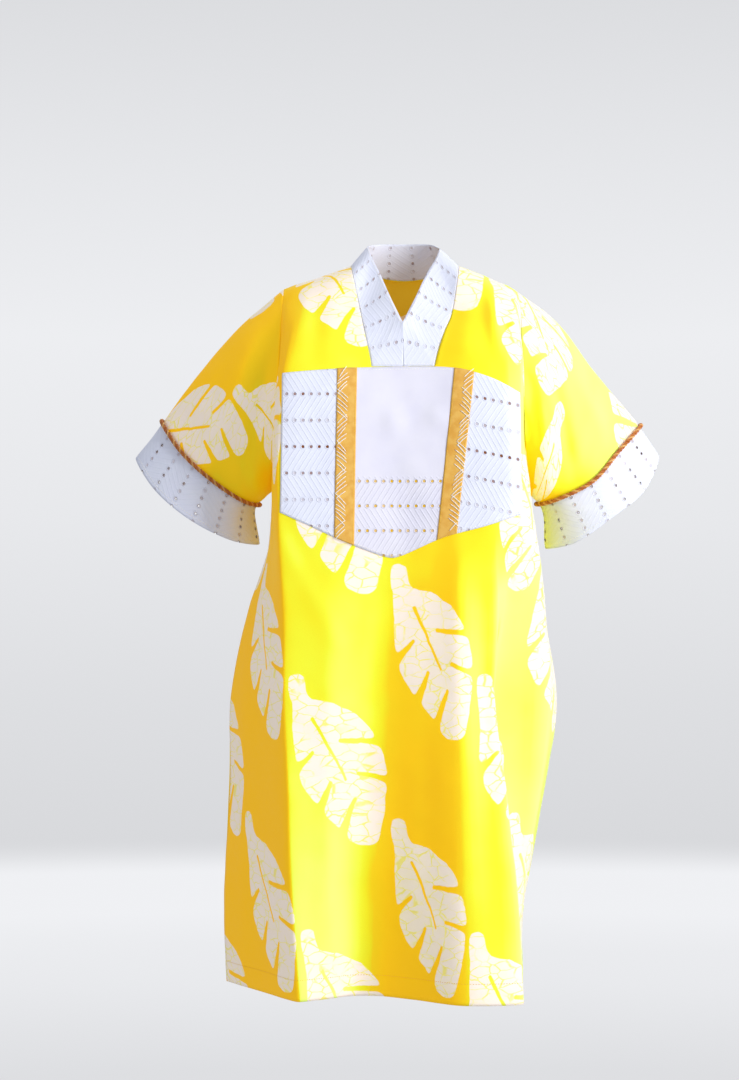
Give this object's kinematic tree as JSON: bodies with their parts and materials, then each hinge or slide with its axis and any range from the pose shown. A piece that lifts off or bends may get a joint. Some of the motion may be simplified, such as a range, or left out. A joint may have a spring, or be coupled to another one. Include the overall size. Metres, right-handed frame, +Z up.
{
  "type": "kaftan",
  "caption": "Boxy knee-length printed kaftan in its worn form, hollow, with short cuffed sleeves, a banded V neck and a pointed chest bib.",
  "frame": {"origin": "the point between the shoulders where the body holds the garment up, level with the neck seam's lower part", "axes": "+Z up, -Y towards the wearer's front, +X towards the wearer's left"},
  "size_m": [0.732, 0.334, 1.0451],
  "materials": {
    "printed_cotton": "plain-weave cotton with a wax-resist leaf print, soft sheen",
    "white_eyelet": "white cotton with rows of eyelets and stitched zigzags",
    "ochre_cloth": "ochre cloth with white herringbone threads",
    "ochre_braid": "twisted two-tone braid"
  },
  "bodies": {
    "root": {"front": "printed_cotton", "back": "printed_cotton", "neck_band_right": "white_eyelet", "neck_band_left": "white_eyelet", "neck_band_back": "white_eyelet", "sleeve_right": "printed_cotton", "cuff_right": "white_eyelet", "sleeve_left": "printed_cotton", "cuff_left": "white_eyelet", "braid_right": "ochre_braid", "braid_left": "ochre_braid", "bib_right": "white_eyelet", "bib_centre": "white_eyelet", "bib_left": "white_eyelet", "strip_right": "ochre_cloth", "strip_left": "ochre_cloth"}
  },
  "joints": []
}
